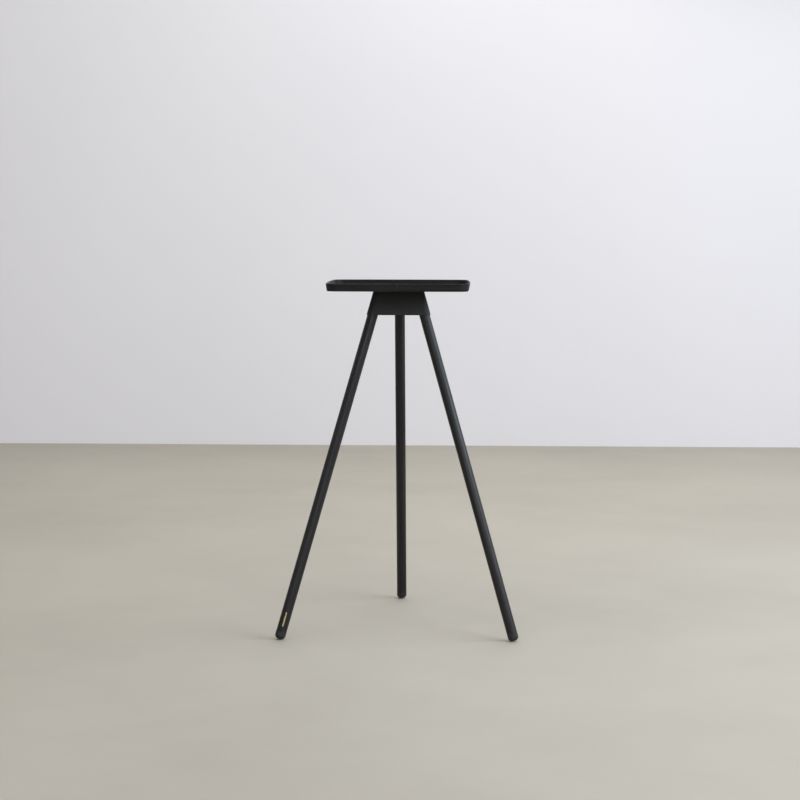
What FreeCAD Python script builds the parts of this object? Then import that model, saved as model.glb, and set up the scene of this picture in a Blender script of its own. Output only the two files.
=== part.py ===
"""Tripod tray stand: a square tray on a tapered steel hub with three splayed round legs.

Millimetres, +Z up. The origin is on the floor, on the vertical axis that runs through the
middle of the tray and the point where the three leg axes would meet. The flat front of the
hub, with a leg at each end of it, faces -Y, and the rear leg stands towards +Y.
"""
import os
import FreeCAD
import Part
from math import atan, atan2, cos, degrees, pi, radians, sin, sqrt, tan

V = FreeCAD.Vector
ORIGIN = V(0, 0, 0)
X_AXIS = V(1, 0, 0)
Y_AXIS = V(0, 1, 0)
Z_AXIS = V(0, 0, 1)

# ---------------------------------------------------------------- driving dimensions
overall_height = 1000.0     # floor to the top of the tray's rim

# tray
tray_width = 400.0          # across the middles of two opposite sides, at the underside
tray_side_radius = 3300.0   # each side bows out gently
tray_corner_radius = 30.0
rim_height = 21.5
rim_wall = 4.0
rim_draft = 9.0             # degrees, the wall leans out towards its top edge
rim_top_round = 1.2
rim_foot_round = 2.5
base_thickness = 8.0
base_gap = 0.1              # glue line between the base panel and the rim
joint_gap = 0.2             # butt joint of the bent rim, at the middle of the front
joint_key_width = 5.0
joint_key_depth = 1.2
joint_key_proud = 0.15
joint_key_top_margin = 1.5

# legs and feet
leg_diameter = 29.5
foot_circle_radius = 381.5  # circle where the leg axes meet the floor
top_circle_radius = 61.5    # circle of the leg axes at the top of the hub
foot_height = 22.0          # rubber seen below the leg, along the leg
foot_edge_radius = 11.2
spigot_diameter = 10.0
spigot_length = 20.0
spigot_gap = 0.1
leg_end_chamfer = 0.5

# hub
hub_height = 71.5
hub_wall = 1.2
hub_plate_thickness = 3.0
socket_wall = 1.0
socket_end_thickness = 2.0
socket_recess = 1.0         # sockets stop this far above the hub's lower edge
hub_edge_round = 0.4        # on the skirt's outer edges
weld_gap = 0.1
leg_fit = 0.1               # radial clearance of a leg in its socket

# M5 fasteners
screw_diameter = 5.0
screw_head_diameter = 9.5
screw_head_height = 2.75
screw_key_width = 3.0       # across the flats of the hexagon recess
screw_key_depth = 1.5
thread_gap = 0.05
washer_diameter = 10.0
washer_thickness = 1.0
screw_hole_diameter = 5.5
insert_diameter = 8.0
insert_groove_depth = 0.6
insert_groove_width = 2.0
insert_gap = 0.05
leg_insert_length = 10.0
leg_insert_sink = 1.0
leg_screw_end_gap = 1.6     # from a screw's tip to the inner end of its insert
tray_insert_cover = 1.0     # wood left between a tray insert and the tray's upper face
tray_screw_end_gap = 1.0
tray_screw_circle_radius = 28.0

# plain foil bar inlaid near the foot of the front left leg
mark_length = 40.0
mark_width = 3.5
mark_depth = 0.15
mark_proud = 0.05
mark_above_foot = 16.0      # along the leg, from the top of the rubber foot
mark_turn = 60.0            # degrees round the leg from its outermost line

# ---------------------------------------------------------------- derived sizes
leg_angles = {"front_right": -30.0, "rear": 90.0, "front_left": 210.0}
tray_z = overall_height - rim_height                # underside of the tray, top of the hub
hub_bottom_z = tray_z - hub_height
plate_bottom_z = tray_z - hub_plate_thickness

tilt = atan((foot_circle_radius - top_circle_radius) / tray_z)
leg_radius = leg_diameter / 2
foot_flat_radius = leg_radius - foot_edge_radius
foot_centre_z = foot_edge_radius + foot_flat_radius * sin(tilt)
foot_top = foot_height - foot_edge_radius           # along the leg, from the foot's centre

socket_bore_radius = leg_radius + leg_fit
socket_radius = socket_bore_radius + socket_wall
hub_inner_radius = socket_radius + weld_gap
hub_outer_radius = hub_inner_radius + hub_wall

rim_lean = tan(radians(rim_draft))
screw_hole_radius = screw_hole_diameter / 2
insert_bore_radius = screw_diameter / 2 + thread_gap
tray_insert_length = base_thickness - tray_insert_cover
tray_screw_length = washer_thickness + hub_plate_thickness + tray_insert_length - tray_screw_end_gap
leg_insert_end = leg_radius - leg_insert_sink - leg_insert_length
leg_screw_length = socket_radius + washer_thickness - leg_insert_end - leg_screw_end_gap


def leg_distance(z):
    """From the stand's axis to a leg's axis at the height z."""
    return foot_circle_radius - z * tan(tilt)


def along_leg(z):
    """Distance along a leg's axis, from the foot's centre, at the height z."""
    return (z - foot_centre_z) / cos(tilt)


socket_mouth = along_leg(hub_bottom_z + socket_recess + socket_radius * sin(tilt))
socket_top = along_leg(plate_bottom_z - weld_gap - socket_radius * sin(tilt))
leg_top = socket_top - socket_end_thickness - leg_fit
leg_screw_place = (socket_mouth + socket_top) / 2


# ---------------------------------------------------------------- shape helpers
def rounded_wire(corners):
    """A closed wire through (point, radius) corners, each turned into an arc if its radius > 0."""
    edges = []
    ends = []
    for i, (point, radius) in enumerate(corners):
        if radius <= 0:
            ends.append((point, point))
            continue
        back = (corners[i - 1][0] - point).normalize()
        ahead = (corners[(i + 1) % len(corners)][0] - point).normalize()
        half = back.getAngle(ahead) / 2
        middle = (back + ahead).normalize()
        start = point + back * (radius / tan(half))
        end = point + ahead * (radius / tan(half))
        crown = point + middle * (radius / sin(half) - radius)
        edges.append(Part.Arc(start, crown, end).toShape())
        ends.append((start, end))
    for i, (_, end) in enumerate(ends):
        next_start = ends[(i + 1) % len(ends)][0]
        if (next_start - end).Length > 1e-6:
            edges.append(Part.makeLine(end, next_start))
    return Part.Wire(Part.__sortEdges__(edges))


def turned(corners):
    """A solid turned about Z from (radius, z, corner rounding) points."""
    wire = rounded_wire([(V(r, 0, z), rounding) for r, z, rounding in corners])
    return Part.Face(wire).revolve(ORIGIN, Z_AXIS, 360)


def rod(radius, low, high):
    """A cylinder about Z between two heights."""
    return Part.makeCylinder(radius, high - low, V(0, 0, low))


def on_leg(shape, angle):
    """Moves a shape from a leg's own frame, Z up its axis and X outwards, to its place."""
    placed = shape.copy()
    placed.rotate(ORIGIN, Y_AXIS, -degrees(tilt))
    placed.translate(V(leg_distance(foot_centre_z), 0, foot_centre_z))
    placed.rotate(ORIGIN, Z_AXIS, angle)
    return placed


def facing_inwards(shape, distance):
    """Turns a shape built along +Z to run along -X, its zero at this distance from a leg's axis."""
    placed = shape.copy()
    placed.rotate(ORIGIN, Y_AXIS, -90)
    placed.translate(V(-distance, 0, leg_screw_place))
    return placed


# ---------------------------------------------------------------- fasteners
def button_screw(length):
    """Head on z >= 0, shank below it."""
    head = turned([(0, 0, 0), (screw_head_diameter / 2, 0, 0),
                   (screw_head_diameter / 2, screw_head_height, 0.75 * screw_head_height),
                   (0, screw_head_height, 0)])
    points = [V(screw_key_width / sqrt(3) * cos(k * pi / 3), screw_key_width / sqrt(3) * sin(k * pi / 3),
                screw_head_height - screw_key_depth) for k in range(7)]
    recess = Part.Face(Part.makePolygon(points)).extrude(V(0, 0, 2 * screw_key_depth))
    shank = rod(screw_diameter / 2, -length, 0)
    return head.cut(recess).fuse(shank).removeSplitter()


def washer():
    """On z from 0 to its thickness."""
    return rod(washer_diameter / 2, 0, washer_thickness).cut(
        rod(screw_hole_radius, -1, washer_thickness + 1))


def threaded_insert(length):
    """A brass insert on z from -length to 0, with one groove round its middle."""
    outer = insert_diameter / 2
    waist = outer - insert_groove_depth
    low = -length / 2 - insert_groove_width / 2
    high = -length / 2 + insert_groove_width / 2
    return turned([(insert_bore_radius, -length, 0), (outer, -length, 0), (outer, low, 0),
                   (waist, low, 0), (waist, high, 0), (outer, high, 0), (outer, 0, 0),
                   (insert_bore_radius, 0, 0)])


# ---------------------------------------------------------------- legs
def mark_bar():
    """The foil bar in a leg's own frame."""
    low = foot_top + mark_above_foot
    high = low + mark_length
    inner = leg_radius - mark_depth
    outer = leg_radius + mark_proud
    section = Part.makePolygon([V(inner, 0, low), V(outer, 0, low), V(outer, 0, high),
                                V(inner, 0, high), V(inner, 0, low)])
    spread = degrees(mark_width / leg_radius)
    bar = Part.Face(section).revolve(ORIGIN, Z_AXIS, spread)
    bar.rotate(ORIGIN, Z_AXIS, mark_turn - spread / 2)
    return bar


def leg(with_mark):
    """A dowel with a blind bore for the foot's spigot and a side hole for its threaded insert."""
    body = rod(leg_radius, foot_top, leg_top)
    ends = [edge for edge in body.Edges if isinstance(edge.Curve, Part.Circle)]
    body = body.makeChamfer(leg_end_chamfer, ends)
    bore = rod(spigot_diameter / 2 + spigot_gap, foot_top - 1, foot_top + spigot_length + 1)
    hole_depth = leg_insert_sink + leg_insert_length
    side_hole = facing_inwards(rod(insert_diameter / 2 + insert_gap, -hole_depth, 1), leg_radius)
    body = body.cut(bore).cut(side_hole)
    return body.cut(mark_bar()) if with_mark else body


def foot():
    """Domed rubber foot with a spigot that plugs into the leg."""
    body = turned([(0, -foot_edge_radius, 0), (leg_radius, -foot_edge_radius, foot_edge_radius),
                   (leg_radius, foot_top, 0), (0, foot_top, 0)])
    spigot = rod(spigot_diameter / 2, foot_top - 1, foot_top + spigot_length)
    return body.fuse(spigot).removeSplitter()


def leg_socket():
    """A steel cup that takes the top of a leg, with a hole for the leg's screw."""
    cup = rod(socket_radius, socket_mouth, socket_top)
    bore = rod(socket_bore_radius, socket_mouth - 1, socket_top - socket_end_thickness)
    hole = facing_inwards(rod(screw_hole_radius, -2 * socket_wall, socket_wall), socket_radius)
    return cup.cut(bore).cut(hole)


# ---------------------------------------------------------------- hub
def hub_outline(z, radius):
    """The hub's section at the height z, as the outline round three leaning cylinders."""
    long_half = radius / cos(tilt)
    sweep = atan(radius / long_half * tan(radians(60)))
    edges = []
    corners = []
    for angle in leg_angles.values():
        outwards = V(cos(radians(angle)), sin(radians(angle)), 0)
        sideways = V(-outwards.y, outwards.x, 0)
        centre = outwards * leg_distance(z) + V(0, 0, z)
        ellipse = Part.Ellipse(centre + outwards * long_half, centre + sideways * radius, centre)
        corners.append(Part.ArcOfEllipse(ellipse, -sweep, sweep).toShape())
    for i, corner in enumerate(corners):
        following = corners[(i + 1) % len(corners)]
        edges.append(corner)
        edges.append(Part.makeLine(corner.lastVertex().Point, following.firstVertex().Point))
    return Part.Wire(edges)


def hub_block(low, high, radius):
    """The solid inside the hub's outline between two heights."""
    return Part.makeLoft([hub_outline(low, radius), hub_outline(high, radius)], True, True)


def hub_skirt():
    """Bent and welded sheet, open above and below, with its outer edges eased."""
    block = hub_block(hub_bottom_z, tray_z, hub_outer_radius)
    rims = [edge for edge in block.Edges if edge.BoundBox.ZLength < 1e-3]
    block = block.makeFillet(hub_edge_round, rims)
    return block.cut(hub_block(hub_bottom_z - 1, tray_z + 1, hub_inner_radius))


def tray_screw_places():
    """Points round the axis, one behind each flat side of the hub."""
    return [V(tray_screw_circle_radius * cos(radians(angle + 60)),
              tray_screw_circle_radius * sin(radians(angle + 60)), 0) for angle in leg_angles.values()]


def hub_top_plate():
    """Tapered plate welded into the top of the skirt, drilled for the tray's screws."""
    plate = hub_block(plate_bottom_z, tray_z, hub_inner_radius - weld_gap)
    for place in tray_screw_places():
        hole = rod(screw_hole_radius, plate_bottom_z - 1, tray_z + 1)
        hole.translate(place)
        plate = plate.cut(hole)
    return plate


# ---------------------------------------------------------------- tray
side_centre = tray_side_radius - tray_width / 2         # from the tray's middle to a side's centre
corner_diagonal = sqrt(2 * (tray_side_radius - tray_corner_radius) ** 2 - side_centre ** 2)
corner_centre = (corner_diagonal - side_centre) / 2     # both ways from the middle to a corner's centre
side_half_angle = degrees(atan2(corner_centre, corner_centre + side_centre))

# centre, radius, first angle and last angle of the arcs round the tray, turned by quarters
tray_arcs = [
    (V(-side_centre, 0, 0), tray_side_radius, -side_half_angle, side_half_angle),
    (V(corner_centre, corner_centre, 0), tray_corner_radius, side_half_angle, 90 - side_half_angle),
]


def tray_outline(growth, z):
    """The tray's outline, moved outwards by growth, at the height z."""
    edges = []
    for quarter in range(4):
        for centre, radius, first, last in tray_arcs:
            edge = Part.makeCircle(radius + growth, centre + V(0, 0, z), Z_AXIS, first, last)
            edge.rotate(ORIGIN, Z_AXIS, 90 * quarter)
            edges.append(edge)
    return Part.Wire(Part.__sortEdges__(edges))


def rim_lean_at(height):
    """How far the outer face stands out at a height above the tray's underside."""
    return rim_lean * height


def rim_segment(centre, radius, first, last):
    """One arc of the rim: its wall section swept round the arc's centre."""
    top_out = rim_lean_at(rim_height)
    section = [(0, 0, rim_foot_round), (top_out, rim_height, rim_top_round),
               (top_out - rim_wall, rim_height, rim_top_round), (-rim_wall, base_thickness, 0),
               (-rim_wall, 0, 0)]
    wire = rounded_wire([(V(radius + out, 0, tray_z + up), rounding) for out, up, rounding in section])
    segment = Part.Face(wire).revolve(ORIGIN, Z_AXIS, last - first)
    segment.rotate(ORIGIN, Z_AXIS, first)
    segment.translate(centre)
    return segment


def key_strip(depth, proud, low, high, width):
    """An upright strip on the front wall, following the wall's lean."""
    front = -tray_width / 2
    corners = [(depth, low), (-proud, low), (-proud, high), (depth, high)]
    points = [V(-width / 2, front - rim_lean_at(up) + inwards, tray_z + up) for inwards, up in corners]
    return Part.Face(Part.makePolygon(points + points[:1])).extrude(V(width, 0, 0))


def joint_key():
    """The strip let into the front of the rim, across its butt joint."""
    return key_strip(joint_key_depth, joint_key_proud, rim_foot_round,
                     rim_height - joint_key_top_margin, joint_key_width)


def tray_rim():
    """Bent wooden rim, butted at the middle of the front."""
    segments = []
    for quarter in range(4):
        for arc in tray_arcs:
            segment = rim_segment(*arc)
            segment.rotate(ORIGIN, Z_AXIS, 90 * quarter)
            segments.append(segment)
    rim = segments[0].fuse(segments[1:]).removeSplitter()
    butt = Part.makeBox(joint_gap, 3 * rim_wall, 2 * rim_height,
                        V(-joint_gap / 2, -tray_width / 2 - 1.5 * rim_wall, tray_z - rim_height / 2))
    return rim.cut(joint_key()).cut(butt)


def tray_base():
    """The panel let into the rim, with blind holes below for its threaded inserts."""
    outline = tray_outline(-rim_wall - base_gap, tray_z)
    panel = Part.Face(outline).extrude(V(0, 0, base_thickness))
    for place in tray_screw_places():
        hole = rod(insert_diameter / 2 + insert_gap, tray_z - 1, tray_z + tray_insert_length)
        hole.translate(place)
        panel = panel.cut(hole)
    return panel


# ---------------------------------------------------------------- the assembly
def each_leg(shape):
    """One copy of a shape on each leg, as separate solids."""
    return Part.makeCompound([on_leg(shape, angle) for angle in leg_angles.values()])


def each_tray_screw(shape, z):
    """One copy of a shape at each tray screw, as separate solids."""
    copies = []
    for place in tray_screw_places():
        copy = shape.copy()
        copy.translate(place + V(0, 0, z))
        copies.append(copy)
    return Part.makeCompound(copies)


def upside_down(shape):
    """Turns a shape built along +Z to run along -Z."""
    turned_over = shape.copy()
    turned_over.rotate(ORIGIN, X_AXIS, 180)
    return turned_over


parts = {
    "tray_rim": tray_rim(),
    "rim_joint_key": joint_key(),
    "tray_base": tray_base(),
    "tray_inserts": each_tray_screw(upside_down(threaded_insert(tray_insert_length)), tray_z),
    "tray_washers": each_tray_screw(upside_down(washer()), plate_bottom_z),
    "tray_screws": each_tray_screw(upside_down(button_screw(tray_screw_length)),
                                   plate_bottom_z - washer_thickness),
    "hub_skirt": hub_skirt(),
    "hub_top_plate": hub_top_plate(),
    "leg_inserts": each_leg(facing_inwards(threaded_insert(leg_insert_length),
                                           leg_radius - leg_insert_sink)),
    "leg_washers": each_leg(facing_inwards(washer(), socket_radius)),
    "leg_screws": each_leg(facing_inwards(button_screw(leg_screw_length),
                                          socket_radius + washer_thickness)),
    "mark_foil": on_leg(mark_bar(), leg_angles["front_left"]),
}
for side, angle in leg_angles.items():
    parts["leg_socket_" + side] = on_leg(leg_socket(), angle)
    parts["leg_" + side] = on_leg(leg(side == "front_left"), angle)
    parts["foot_" + side] = on_leg(foot(), angle)

os.makedirs("parts", exist_ok=True)
for name, shape in parts.items():
    shape.exportStep("parts/" + name + ".step")
    print(name, "solids", len(shape.Solids), "valid", shape.isValid(), "volume", round(shape.Volume, 1))
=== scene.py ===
"""Looks for the tripod tray stand: procedural materials, camera, lights and a plain pale room.

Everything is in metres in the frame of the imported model: the origin is on the floor under the
middle of the tray, +Z is up and the flat front of the hub faces -Y.
"""
from math import cos, pi, radians, sin

import bmesh
import bpy
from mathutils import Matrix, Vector


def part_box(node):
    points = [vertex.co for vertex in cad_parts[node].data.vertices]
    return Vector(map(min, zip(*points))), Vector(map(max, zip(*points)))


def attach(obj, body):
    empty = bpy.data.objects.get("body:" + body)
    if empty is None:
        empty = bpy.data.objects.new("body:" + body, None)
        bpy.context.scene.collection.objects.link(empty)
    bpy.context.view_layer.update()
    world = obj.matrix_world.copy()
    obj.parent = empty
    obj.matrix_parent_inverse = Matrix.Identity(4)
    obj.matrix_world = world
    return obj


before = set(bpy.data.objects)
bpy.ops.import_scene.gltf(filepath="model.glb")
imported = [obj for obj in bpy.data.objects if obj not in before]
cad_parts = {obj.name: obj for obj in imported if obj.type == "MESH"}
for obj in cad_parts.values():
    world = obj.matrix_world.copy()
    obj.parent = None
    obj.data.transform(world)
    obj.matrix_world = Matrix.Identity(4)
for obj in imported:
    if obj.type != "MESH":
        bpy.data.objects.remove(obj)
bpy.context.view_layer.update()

SIDES = ("front_right", "rear", "front_left")
BODY = "root"

# ---------------------------------------------------------------- camera
CAMERA_DISTANCE = 5.0645
CAMERA_HEIGHT = 1.161
CAMERA_OFFSET = 0.0022          # sideways, from the stand's axis
CAMERA_TURN = radians(1.55)     # the camera stands this far round to the stand's right
CAMERA_PITCH = radians(5.651)   # looking down
CAMERA_ROLL = radians(-0.126)
CAMERA_LENS = 79.54             # millimetres
SENSOR_WIDTH = 36.0             # millimetres


def make_camera():
    data = bpy.data.cameras.new("camera")
    data.lens = CAMERA_LENS
    data.sensor_width = SENSOR_WIDTH
    data.clip_end = 60.0
    camera = bpy.data.objects.new("camera", data)
    camera.location = (
        CAMERA_OFFSET * cos(CAMERA_TURN) + CAMERA_DISTANCE * sin(CAMERA_TURN),
        CAMERA_OFFSET * sin(CAMERA_TURN) - CAMERA_DISTANCE * cos(CAMERA_TURN),
        CAMERA_HEIGHT,
    )
    camera.rotation_euler = (pi / 2 - CAMERA_PITCH, CAMERA_ROLL, CAMERA_TURN)
    bpy.context.scene.collection.objects.link(camera)
    bpy.context.scene.camera = camera


make_camera()


# ---------------------------------------------------------------- node helpers
# dot product of the rounded and the plain normal, on a full edge and on a flat face
EDGE_LIKENESS = (0.82, 0.995)


class Shader:
    """A new material with a principled shader, and short ways to add and join its nodes."""

    def __init__(self, name, **constants):
        self.material = bpy.data.materials.new(name)
        self.material.use_nodes = True
        self.tree = self.material.node_tree
        self.principled = self.tree.nodes["Principled BSDF"]
        for socket, value in constants.items():
            self.principled.inputs[socket.replace("_", " ")].default_value = value

    def add(self, kind, settings=None, **inputs):
        """A node; settings are its own properties, and inputs are values or sockets to join.

        An input is given by its name, or as i0, i1 and so on where names repeat.
        """
        made = self.tree.nodes.new("ShaderNode" + kind)
        for key, value in (settings or {}).items():
            setattr(made, key, value)
        for key, value in inputs.items():
            numbered = key[0] == "i" and key[1:].isdigit()
            self.join(value, made.inputs[int(key[1:]) if numbered else key])
        return made

    def join(self, value, socket):
        if isinstance(value, bpy.types.NodeSocket):
            self.tree.links.new(value, socket)
        else:
            socket.default_value = value

    def drive(self, socket, value):
        self.join(value, self.principled.inputs[socket])

    def place(self):
        """Positions in the row frame."""
        return self.add("TexCoord").outputs["Object"]

    def turned_place(self, rotation):
        """Positions turned so that the direction which the rotation gives +Z lies along +Z."""
        return self.add("VectorRotate", {"rotation_type": "EULER_XYZ", "invert": True},
                        Vector=self.place(), Rotation=rotation).outputs["Vector"]

    def scaled(self, vector, scale):
        return self.add("Mapping", Vector=vector, Scale=scale).outputs["Vector"]

    def noise(self, vector, scale, detail=2.0, roughness=0.5):
        return self.add("TexNoise", Vector=vector, Scale=scale, Detail=detail,
                        Roughness=roughness).outputs["Fac"]

    def ramp(self, value, low, high, start=0.0, end=1.0):
        """Maps start..end of a value to low..high, and stays inside them."""
        made = self.add("MapRange", {"clamp": True}, Value=value)
        made.inputs["From Min"].default_value = start
        made.inputs["From Max"].default_value = end
        made.inputs["To Min"].default_value = low
        made.inputs["To Max"].default_value = high
        return made.outputs["Result"]

    def mix(self, share, first, second):
        """A colour between two colours, which are the node's sockets 6 and 7."""
        made = self.add("Mix", {"data_type": "RGBA"})
        self.join(share, made.inputs[0])
        self.join(first, made.inputs[6])
        self.join(second, made.inputs[7])
        return made.outputs[2]

    def maths(self, operation, first, second):
        made = self.add("Math", {"operation": operation})
        self.join(first, made.inputs[0])
        self.join(second, made.inputs[1])
        return made.outputs[0]

    def bump(self, height, distance, strength):
        return self.add("Bump", Height=height, Distance=distance, Strength=strength).outputs["Normal"]

    def edges(self, radius):
        """1 on edges sharper than the radius, 0 on flat or gently curved faces."""
        rounded = self.add("Bevel", {"samples": 6}, Radius=radius).outputs["Normal"]
        plain = self.add("NewGeometry").outputs["Normal"]
        likeness = self.add("VectorMath", {"operation": "DOT_PRODUCT"}, i0=rounded, i1=plain)
        return self.ramp(likeness.outputs["Value"], 1.0, 0.0, *EDGE_LIKENESS)


def colour(red, green, blue):
    return (red, green, blue, 1.0)


# ---------------------------------------------------------------- materials
# specular level and lowest roughness of the wood's lacquer
LEG_LACQUER = (0.32, 0.35)
TRAY_LACQUER = (0.14, 0.46)
TARNISH = 0.62                  # how bright tarnished metal is, next to clean metal


def stained_wood(name, grain, lacquer, lightness=1.0):
    """Black-stained ash with a thin satin lacquer: dark open pores in long streaks of growth rings.

    The grain is the rotation that turns +Z along it, or None round the bent rim, where it runs level.
    The streaks' scales are in cycles a metre, across and along the grain.
    """
    gloss, smoothest = lacquer
    shader = Shader(name, IOR=1.47, Specular_IOR_Level=gloss)
    place = shader.place() if grain is None else shader.turned_place(grain)

    def streaks(across, along, detail, roughness):
        scale = (along, along, across) if grain is None else (across, across, along)
        return shader.noise(shader.scaled(place, scale), 1.0, detail, roughness)

    late_wood = shader.ramp(streaks(130, 2.6, 3.0, 0.55), 0.0, 1.0, 0.40, 0.62)
    pores = shader.ramp(streaks(1500, 45, 1.0, 0.4), 1.0, 0.0, 0.30, 0.40)
    fibre = streaks(5200, 160, 2.0, 0.6)
    cloud = shader.ramp(shader.noise(place, 9.0, 3.0, 0.6), 0.0, 0.5, 0.35, 0.75)
    early = colour(0.0058 * lightness, 0.0057 * lightness, 0.0060 * lightness)
    late = colour(0.0170 * lightness, 0.0162 * lightness, 0.0158 * lightness)
    stain = colour(0.0095 * lightness, 0.0093 * lightness, 0.0098 * lightness)
    base = shader.mix(late_wood, early, late)
    base = shader.mix(shader.maths("MULTIPLY", cloud, 0.6), base, stain)
    base = shader.mix(shader.maths("MULTIPLY", pores, 0.7), base, colour(0.004, 0.004, 0.004))
    worn = shader.maths("MULTIPLY", shader.edges(0.0008), 0.3)
    shader.drive("Base Color", shader.mix(worn, base, colour(0.038, 0.035, 0.032)))
    rough = shader.maths("ADD", shader.ramp(late_wood, smoothest + 0.09, smoothest - 0.02),
                         shader.ramp(fibre, -0.03, 0.04, 0.3, 0.7))
    shader.drive("Roughness", shader.maths("ADD", rough, shader.maths("MULTIPLY", pores, 0.16)))
    height = shader.maths("SUBTRACT", shader.maths("MULTIPLY", fibre, 0.16), pores)
    shader.drive("Normal", shader.bump(height, 0.00007, 0.7))
    return shader.material


def powder_coat(name):
    """Matte black powder coat with fine orange peel."""
    shader = Shader(name, IOR=1.5, Specular_IOR_Level=0.36)
    place = shader.place()
    peel = shader.noise(place, 950.0, 2.0, 0.5)
    grain = shader.noise(place, 3800.0, 1.0, 0.5)
    cloud = shader.noise(place, 14.0, 2.0, 0.5)
    base = shader.mix(shader.ramp(cloud, 0.0, 1.0, 0.35, 0.65), colour(0.0095, 0.0095, 0.0099),
                      colour(0.0120, 0.0120, 0.0124))
    worn = shader.edges(0.0007)
    base = shader.mix(shader.maths("MULTIPLY", worn, 0.4), base, colour(0.045, 0.045, 0.047))
    shader.drive("Base Color", base)
    shader.drive("Roughness", shader.ramp(grain, 0.56, 0.68, 0.3, 0.7))
    height = shader.maths("ADD", shader.maths("MULTIPLY", peel, 0.8), shader.maths("MULTIPLY", grain, 0.2))
    shader.drive("Normal", shader.bump(height, 0.00012, 0.55))
    return shader.material


def foot_rubber(name):
    """Black moulded rubber, lighter in patches within 9 mm of the floor."""
    shader = Shader(name, IOR=1.5)
    place = shader.place()
    fine = shader.noise(place, 2600.0, 2.0, 0.6)
    patches = shader.noise(place, 260.0, 3.0, 0.6)
    height = shader.add("SeparateXYZ", Vector=place).outputs["Z"]
    # lighter in patches towards the floor, fading out 9 mm up
    lighter_near_floor = shader.maths("MULTIPLY", shader.ramp(height, 1.0, 0.0, 0.0, 0.009),
                        shader.ramp(patches, 0.1, 0.55, 0.35, 0.7))
    shader.drive("Base Color", shader.mix(lighter_near_floor, colour(0.0090, 0.0090, 0.0094), colour(0.11, 0.10, 0.09)))
    shader.drive("Roughness", shader.ramp(fine, 0.62, 0.78, 0.3, 0.7))
    shader.drive("Normal", shader.bump(fine, 0.00006, 0.5))
    return shader.material


def metal(name, base, low, high, metallic=1.0):
    """Machined or plated metal: fine turning marks, roughness from low to high, and a little tarnish."""
    shader = Shader(name, Metallic=metallic)
    place = shader.place()
    marks = shader.noise(shader.scaled(place, (1.0, 1.0, 9.0)), 2200.0, 2.0, 0.5)
    stain = shader.noise(place, 420.0, 3.0, 0.6)
    tarnish = colour(*(TARNISH * channel for channel in base[:3]))
    shader.drive("Base Color", shader.mix(shader.ramp(stain, 0.0, 0.6, 0.4, 0.75), base, tarnish))
    shader.drive("Roughness", shader.ramp(marks, low, high, 0.3, 0.7))
    shader.drive("Normal", shader.bump(marks, 0.00002, 0.4))
    return shader.material


def gold_foil(name):
    """Hot-stamped pale gold foil, rubbed a little thin."""
    shader = Shader(name, Metallic=0.85)
    place = shader.place()
    rubbed = shader.noise(place, 1400.0, 3.0, 0.65)
    tint = shader.noise(place, 160.0, 2.0, 0.5)
    gold = shader.mix(shader.ramp(tint, 0.0, 1.0, 0.35, 0.65), colour(0.52, 0.41, 0.23),
                      colour(0.40, 0.30, 0.16))
    shader.drive("Base Color", shader.mix(shader.ramp(rubbed, 0.8, 0.0, 0.30, 0.42), gold,
                                          colour(0.05, 0.045, 0.035)))
    shader.drive("Roughness", shader.ramp(rubbed, 0.50, 0.34, 0.3, 0.7))
    shader.drive("Normal", shader.bump(rubbed, 0.00002, 0.4))
    return shader.material


def dress(node, material):
    """Gives a carried-over CAD node its finish."""
    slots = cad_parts[node].data.materials
    slots.clear()
    slots.append(material)


def middle(node):
    low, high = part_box(node)
    return (low + high) / 2


def leg_direction(side):
    """Along a leg's axis: the middles of the leg and of its socket both lie on it."""
    return (middle("leg_socket_" + side) - middle("leg_" + side)).normalized()


def grain_along(direction):
    """The rotation that turns +Z to a direction."""
    return Vector(direction).to_track_quat("Z", "Y").to_euler()


def dress_everything():
    coat = powder_coat("powder_coat_black")
    rubber = foot_rubber("rubber_black")
    brass = metal("brass_machined", colour(0.72, 0.55, 0.27), 0.24, 0.40)
    zinc = metal("zinc_plate", colour(0.60, 0.61, 0.64), 0.28, 0.44)
    oxide = metal("black_oxide", colour(0.045, 0.045, 0.048), 0.34, 0.50, metallic=0.8)
    for side in SIDES:
        dress("leg_" + side, stained_wood("ash_leg_" + side, grain_along(leg_direction(side)), LEG_LACQUER))
        dress("leg_socket_" + side, coat)
        dress("foot_" + side, rubber)
    # The rim's stain is drawn 1.15 times lighter than the panel's and the legs': painted reflection,
    # standing in for the bright floor that the rim's outer front face reflects.
    dress("tray_rim", stained_wood("ash_rim_painted_reflection", None, TRAY_LACQUER, lightness=1.15))
    # The key's stain is drawn 2.2 times lighter than the panel's and the legs'.
    dress("rim_joint_key", stained_wood("ash_key", grain_along((0, 0, 1)), TRAY_LACQUER, lightness=2.2))
    dress("tray_base", stained_wood("ash_panel", grain_along((1, 0, 0)), TRAY_LACQUER))
    dress("hub_skirt", coat)
    dress("hub_top_plate", coat)
    dress("tray_inserts", brass)
    dress("leg_inserts", brass)
    dress("tray_washers", zinc)
    dress("leg_washers", zinc)
    dress("tray_screws", oxide)
    dress("leg_screws", oxide)
    dress("mark_foil", gold_foil("foil_gold"))


dress_everything()


# ---------------------------------------------------------------- weld beads inside the hub
BEAD_RADIUS = 0.0016
BEAD_SINK = 0.0006              # from the faces that a bead joins to its middle
END_ROUNDING = 2.2              # the higher, the blunter a bead's ends
RIPPLE_LENGTH = 0.0017
RIPPLE_HEIGHT = 0.09            # share of the radius
RINGS_PER_RIPPLE = 6
POINTS_PER_RING = 14
SOCKET_STITCH = 0.014
SOCKET_STITCH_STARTS = (0.22, 0.62)     # shares of the socket's length
PLATE_STITCH = 0.012
PLATE_STITCH_OFFSET = 0.013     # from the middle of a flat side
# round a leg's axis: from outwards to where the flat skirt leaves the socket, and on into the wedge
FLAT_TURN = radians(60)
WEDGE_TURN = radians(24)


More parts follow.
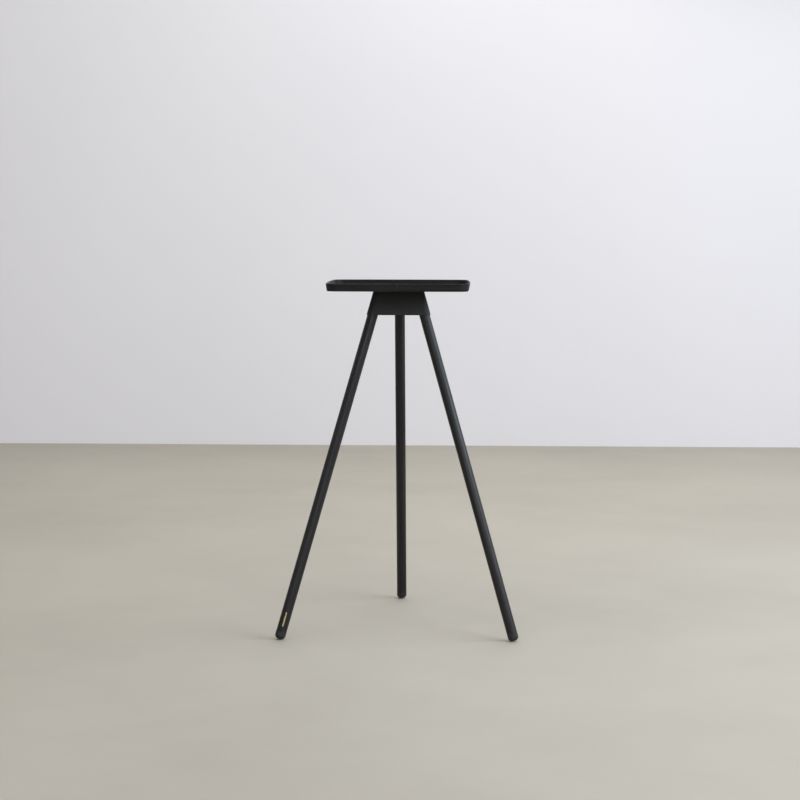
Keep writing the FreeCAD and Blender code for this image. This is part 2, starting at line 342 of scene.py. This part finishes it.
def weld_bead(name, start, end):
    """A rippled bead of weld metal with rounded ends, painted over with the hub."""
    along = end - start
    turn = along.to_track_quat("Z", "Y").to_matrix()
    rings = round(along.length / RIPPLE_LENGTH * RINGS_PER_RIPPLE)
    angles = [2 * pi * k / POINTS_PER_RING for k in range(POINTS_PER_RING)]
    made = bmesh.new()
    loops = []
    for ring in range(1, rings):
        share = ring / rings
        centre = start + share * along
        rounded = min(1.0, (END_ROUNDING * min(share, 1 - share) * along.length / BEAD_RADIUS) ** 0.5)
        ripple = 1 + RIPPLE_HEIGHT * abs(sin(pi * ring / RINGS_PER_RIPPLE))
        radius = BEAD_RADIUS * rounded * ripple
        loops.append([made.verts.new(centre + turn @ Vector((radius * cos(angle), radius * sin(angle), 0)))
                      for angle in angles])
    for low, high in zip(loops, loops[1:]):
        for k in range(POINTS_PER_RING):
            following = (k + 1) % POINTS_PER_RING
            made.faces.new((low[k], low[following], high[following], high[k]))
    for tip, loop in ((start, loops[0][::-1]), (end, loops[-1])):
        point = made.verts.new(tip)
        for k in range(POINTS_PER_RING):
            made.faces.new((loop[k], loop[(k + 1) % POINTS_PER_RING], point))
    mesh = bpy.data.meshes.new(name)
    made.to_mesh(mesh)
    made.free()
    mesh.polygons.foreach_set("use_smooth", [True] * len(mesh.polygons))
    mesh.materials.append(bpy.data.materials["powder_coat_black"])
    bead = bpy.data.objects.new(name, mesh)
    bpy.context.scene.collection.objects.link(bead)
    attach(bead, BODY)


def weld_socket(side):
    """Two stitches up each side of a socket, in the wedge between it and the flat skirt."""
    axis = leg_direction(side)
    centre = middle("leg_socket_" + side)
    outwards = Vector((centre.x, centre.y, 0))
    outwards = (outwards - outwards.dot(axis) * axis).normalized()
    sideways = axis.cross(outwards)
    reached = [Vector(vertex.co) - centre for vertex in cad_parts["leg_socket_" + side].data.vertices]
    heights = [point.dot(axis) for point in reached]
    radius = max((point - point.dot(axis) * axis).length for point in reached)
    low, high = min(heights), max(heights)
    for hand, sign in (("left", -1), ("right", 1)):
        turn = sign * (FLAT_TURN + WEDGE_TURN)
        line = centre + (radius + BEAD_SINK) * (outwards * cos(turn) + sideways * sin(turn))
        for number, share in enumerate(SOCKET_STITCH_STARTS, 1):
            start = line + (low + share * (high - low)) * axis
            weld_bead(f"weld_{side}_{hand}_{number}", start, start + SOCKET_STITCH * axis)


def weld_plate():
    """Two stitches under the top plate along each flat side of the skirt.

    All three sides lie as far from the stand's axis as the plate's front edge.
    """
    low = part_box("hub_top_plate")[0]
    for side, facing in (("front", -pi / 2), ("right", pi / 6), ("left", 5 * pi / 6)):
        normal = Vector((cos(facing), sin(facing), 0))
        along = Vector((-normal.y, normal.x, 0))
        line = normal * (-low.y - BEAD_SINK) + Vector((0, 0, low.z - BEAD_SINK))
        for number, offset in enumerate((-PLATE_STITCH_OFFSET, PLATE_STITCH_OFFSET), 1):
            centre = line + offset * along
            weld_bead(f"weld_plate_{side}_{number}", centre - PLATE_STITCH / 2 * along,
                      centre + PLATE_STITCH / 2 * along)


for leg_side in SIDES:
    weld_socket(leg_side)
weld_plate()


# ---------------------------------------------------------------- room and light
WALL_BEHIND = 4.23              # from the stand's axis
WALL_BESIDE = 7.0
WALL_IN_FRONT = 8.5
WALL_HEIGHT = 6.0
WALL_CORNER_RADIUS = 2.5
CORNER_STEPS = 16


def room_material(name, first, second, scale):
    shader = Shader(name, Roughness=0.85, Specular_IOR_Level=0.2)
    cloud = shader.noise(shader.place(), scale, 4.0, 0.6)
    shader.drive("Base Color", shader.mix(shader.ramp(cloud, 0.0, 1.0, 0.3, 0.7), first, second))
    return shader.material


def stage_sheet(name, points, faces, material):
    mesh = bpy.data.meshes.new(name)
    mesh.from_pydata(points, [], faces)
    mesh.materials.append(material)
    mesh.polygons.foreach_set("use_smooth", [True] * len(mesh.polygons))
    made = bpy.data.objects.new(name, mesh)
    bpy.context.scene.collection.objects.link(made)


def room_outline():
    """The wall's plan: a rectangle with round corners."""
    across = WALL_BESIDE - WALL_CORNER_RADIUS
    behind = WALL_BEHIND - WALL_CORNER_RADIUS
    in_front = WALL_CORNER_RADIUS - WALL_IN_FRONT
    corners = ((across, behind, 0), (-across, behind, 90),
               (-across, in_front, 180), (across, in_front, 270))
    return [(x + WALL_CORNER_RADIUS * cos(radians(first + 90 * step / CORNER_STEPS)),
             y + WALL_CORNER_RADIUS * sin(radians(first + 90 * step / CORNER_STEPS)))
            for x, y, first in corners for step in range(CORNER_STEPS + 1)]


def make_room():
    outline = room_outline()
    count = len(outline)
    stage_sheet("floor", [(x, y, 0.0) for x, y in outline], [tuple(range(count))],
                room_material("floor_plain", colour(0.365, 0.335, 0.28), colour(0.415, 0.383, 0.322), 0.8))
    stage_sheet("wall", [(x, y, z) for z in (0.0, WALL_HEIGHT) for x, y in outline],
                [(i, (i + 1) % count, count + (i + 1) % count, count + i) for i in range(count)],
                room_material("wall_plain", colour(0.745, 0.722, 0.728), colour(0.765, 0.742, 0.748), 0.5))


def soft_light(name, place, target, width, height, power, tint=(1.0, 1.0, 1.0)):
    """A rectangular lamp that reflections show and the camera doesn't."""
    data = bpy.data.lights.new(name, "AREA")
    data.shape = "RECTANGLE"
    data.size = width
    data.size_y = height
    data.energy = power
    data.color = tint
    made = bpy.data.objects.new(name, data)
    made.location = place
    made.rotation_euler = (Vector(target) - Vector(place)).to_track_quat("-Z", "Y").to_euler()
    made.visible_camera = False
    bpy.context.scene.collection.objects.link(made)


def make_light():
    world = bpy.data.worlds.new("world")
    world.use_nodes = True
    background = world.node_tree.nodes["Background"]
    background.inputs["Color"].default_value = (0.95, 0.97, 1.0, 1.0)
    background.inputs["Strength"].default_value = 0.13
    bpy.context.scene.world = world
    bpy.context.scene.view_settings.view_transform = "Standard"
    soft_light("overhead", (0.0, -1.0, 5.5), (0.0, -1.0, 0.0), 9.0, 9.0, 265.0)
    soft_light("window", (4.5, -1.35, 2.75), (0.0, 0.0, 0.7), 5.3, 2.0, 300.0, (0.74, 0.85, 1.0))
    soft_light("front", (0.6, -7.5, 2.8), (0.0, 0.0, 0.8), 5.0, 2.8, 142.0)
    soft_light("back", (0.8, 3.4, 3.6), (0.0, 0.0, 0.6), 4.0, 2.0, 70.0)


make_room()
make_light()


# ---------------------------------------------------------------- the sizes of both models
def plain(box):
    return [list(map(float, corner)) for corner in box]
